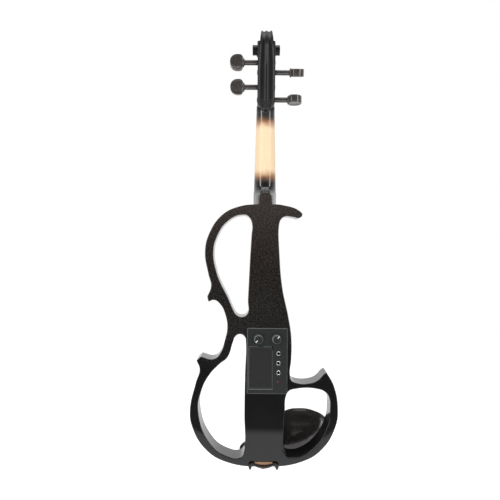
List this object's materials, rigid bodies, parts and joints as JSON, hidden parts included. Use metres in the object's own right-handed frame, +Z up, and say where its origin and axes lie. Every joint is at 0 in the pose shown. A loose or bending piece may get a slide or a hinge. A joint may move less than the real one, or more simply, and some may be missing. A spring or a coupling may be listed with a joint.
{
  "type": "electric viola",
  "caption": "Frame-bodied electric viola with bolt-on neck, pegs, strings, fine tuners, clamped chinrest and a rear control panel with a battery door, knobs and sockets.",
  "frame": {"origin": "hanger seat on the centre line, under the scroll, where a wall or stand yoke carries the instrument", "axes": "+Z up along the neck towards the scroll, -Y out of the back with the control panel, +X towards the chinrest's cup"},
  "size_m": [0.2293, 0.0798, 0.6926],
  "materials": {
    "body_lacquer": "black metallic lacquer, gloss",
    "neck_maple": "bare oiled maple, stained black at both ends",
    "bridge_maple": "bare maple",
    "ebony": "polished black",
    "black_plastic": "satin",
    "gut_plastic": "satin",
    "fitting_steel": "nickel plated",
    "clamp_steel": "black",
    "string_steel": "wound",
    "cork": "cork",
    "lead_rubber": "matte",
    "board_green": "printed board",
    "battery_case": "satin",
    "pickup_brass": "satin",
    "ring_chrome": "polished",
    "lamp_red": "tinted"
  },
  "bodies": {
    "viola": {"body": "body_lacquer", "neck": "neck_maple", "fingerboard": "ebony", "nut": "ebony", "saddle": "ebony", "bridge": "bridge_maple", "bridge_pickup": "pickup_brass", "pickup_lead": "lead_rubber", "tailpiece": "black_plastic", "tail_gut": "gut_plastic", "end_button": "ebony", "string_a": "string_steel", "string_d": "string_steel", "string_g": "string_steel", "string_c": "string_steel", "chinrest": "ebony", "rest_cork_left": "cork", "rest_cork_right": "cork", "clamp_bracket_left": "fitting_steel", "clamp_bracket_right": "fitting_steel", "control_panel": "black_plastic", "battery": "battery_case", "battery_clip": "lead_rubber", "battery_lead": "lead_rubber", "circuit_board": "board_green", "volume_potentiometer": "fitting_steel", "tone_potentiometer": "fitting_steel", "line_out_socket": "black_plastic", "phones_socket": "black_plastic", "music_in_socket": "black_plastic", "line_out_ring": "ring_chrome", "phones_ring": "ring_chrome", "music_in_ring": "ring_chrome", "power_lamp": "lamp_red"},
    "peg_a": {"peg_a": "ebony", "winding_a": "string_steel"},
    "peg_d": {"peg_d": "ebony", "winding_d": "string_steel"},
    "peg_g": {"peg_g": "ebony", "winding_g": "string_steel"},
    "peg_c": {"peg_c": "ebony", "winding_c": "string_steel"},
    "tuner_screw_a": {"tuner_screw_a": "fitting_steel"},
    "tuner_screw_d": {"tuner_screw_d": "fitting_steel"},
    "tuner_screw_g": {"tuner_screw_g": "fitting_steel"},
    "tuner_screw_c": {"tuner_screw_c": "fitting_steel"},
    "tuner_lever_a": {"tuner_lever_a": "fitting_steel"},
    "tuner_lever_d": {"tuner_lever_d": "fitting_steel"},
    "tuner_lever_g": {"tuner_lever_g": "fitting_steel"},
    "tuner_lever_c": {"tuner_lever_c": "fitting_steel"},
    "clamp_barrel_left": {"clamp_barrel_left": "fitting_steel"},
    "clamp_barrel_right": {"clamp_barrel_right": "fitting_steel"},
    "clamp_foot": {"clamp_foot": "clamp_steel", "foot_cork": "cork"},
    "battery_door": {"battery_door": "black_plastic"},
    "volume_knob": {"volume_knob": "black_plastic", "volume_shaft": "fitting_steel"},
    "tone_knob": {"tone_knob": "black_plastic", "tone_shaft": "fitting_steel"}
  },
  "joints": [
    {"name": "peg_a_turn", "type": "hinge", "parent": "viola", "child": "peg_a", "pos_m": [0, 0.00703, -0.0515], "axis": [1, 0, 0], "range_deg": [-720, 60]},
    {"name": "peg_d_turn", "type": "hinge", "parent": "viola", "child": "peg_d", "pos_m": [0, 0.00103, -0.015], "axis": [1, 0, 0], "range_deg": [-720, 60]},
    {"name": "peg_g_turn", "type": "hinge", "parent": "viola", "child": "peg_g", "pos_m": [0, 0.00353, -0.0295], "axis": [1, 0, 0], "range_deg": [-720, 60]},
    {"name": "peg_c_turn", "type": "hinge", "parent": "viola", "child": "peg_c", "pos_m": [0, 0.01103, -0.07], "axis": [1, 0, 0], "range_deg": [-720, 60]},
    {"name": "tuner_screw_a_turn", "type": "hinge", "parent": "viola", "child": "tuner_screw_a", "pos_m": [-0.01463, 0.04, -0.5435], "axis": [0, -1, 0], "range_deg": [0, 1440]},
    {"name": "tuner_screw_d_turn", "type": "hinge", "parent": "viola", "child": "tuner_screw_d", "pos_m": [-0.00487, 0.04, -0.5435], "axis": [0, -1, 0], "range_deg": [0, 1440]},
    {"name": "tuner_screw_g_turn", "type": "hinge", "parent": "viola", "child": "tuner_screw_g", "pos_m": [0.00487, 0.04, -0.5435], "axis": [0, -1, 0], "range_deg": [0, 1440]},
    {"name": "tuner_screw_c_turn", "type": "hinge", "parent": "viola", "child": "tuner_screw_c", "pos_m": [0.01463, 0.04, -0.5435], "axis": [0, -1, 0], "range_deg": [0, 1440]},
    {"name": "tuner_lever_a_tilt", "type": "hinge", "parent": "viola", "child": "tuner_lever_a", "pos_m": [-0.01463, 0.03823, -0.5245], "axis": [-1, 0, 0], "range_deg": [0, 6]},
    {"name": "tuner_lever_d_tilt", "type": "hinge", "parent": "viola", "child": "tuner_lever_d", "pos_m": [-0.00487, 0.0407, -0.5245], "axis": [-1, 0, 0], "range_deg": [0, 6]},
    {"name": "tuner_lever_g_tilt", "type": "hinge", "parent": "viola", "child": "tuner_lever_g", "pos_m": [0.00487, 0.0407, -0.5245], "axis": [-1, 0, 0], "range_deg": [0, 6]},
    {"name": "tuner_lever_c_tilt", "type": "hinge", "parent": "viola", "child": "tuner_lever_c", "pos_m": [0.01463, 0.03823, -0.5245], "axis": [-1, 0, 0], "range_deg": [0, 6]},
    {"name": "clamp_barrel_left_turn", "type": "hinge", "parent": "viola", "child": "clamp_barrel_left", "pos_m": [-0.0205, 0.0095, -0.6461], "axis": [0, 1, 0], "range_deg": [0, 1440]},
    {"name": "clamp_barrel_right_turn", "type": "hinge", "parent": "viola", "child": "clamp_barrel_right", "pos_m": [0.0205, 0.0095, -0.6461], "axis": [0, 1, 0], "range_deg": [0, 1440]},
    {"name": "clamp_foot_slide", "type": "slide", "parent": "viola", "child": "clamp_foot", "axis": [0, -1, 0], "range_m": [0, 0.0064]},
    {"name": "battery_door_hinge", "type": "hinge", "parent": "viola", "child": "battery_door", "pos_m": [-0.0057, -0.0086, -0.5231], "axis": [1, 0, 0], "range_deg": [0, 100]},
    {"name": "volume_turn", "type": "hinge", "parent": "viola", "child": "volume_knob", "pos_m": [-0.009, -0.0085, -0.4451], "axis": [0, 1, 0], "range_deg": [0, 270]},
    {"name": "tone_turn", "type": "hinge", "parent": "viola", "child": "tone_knob", "pos_m": [0.0188, -0.0085, -0.4451], "axis": [0, 1, 0], "range_deg": [-174, 96]}
  ],
  "couplings": [
    {"joint": "tuner_lever_a_tilt", "follows": "tuner_screw_a_turn", "ratio": 0.0041},
    {"joint": "tuner_lever_d_tilt", "follows": "tuner_screw_d_turn", "ratio": 0.0041},
    {"joint": "tuner_lever_g_tilt", "follows": "tuner_screw_g_turn", "ratio": 0.0041},
    {"joint": "tuner_lever_c_tilt", "follows": "tuner_screw_c_turn", "ratio": 0.0041},
    {"joint": "clamp_barrel_left_turn", "follows": "clamp_foot_slide", "rad_per_m": 3927},
    {"joint": "clamp_barrel_right_turn", "follows": "clamp_foot_slide", "rad_per_m": 3927}
  ]
}
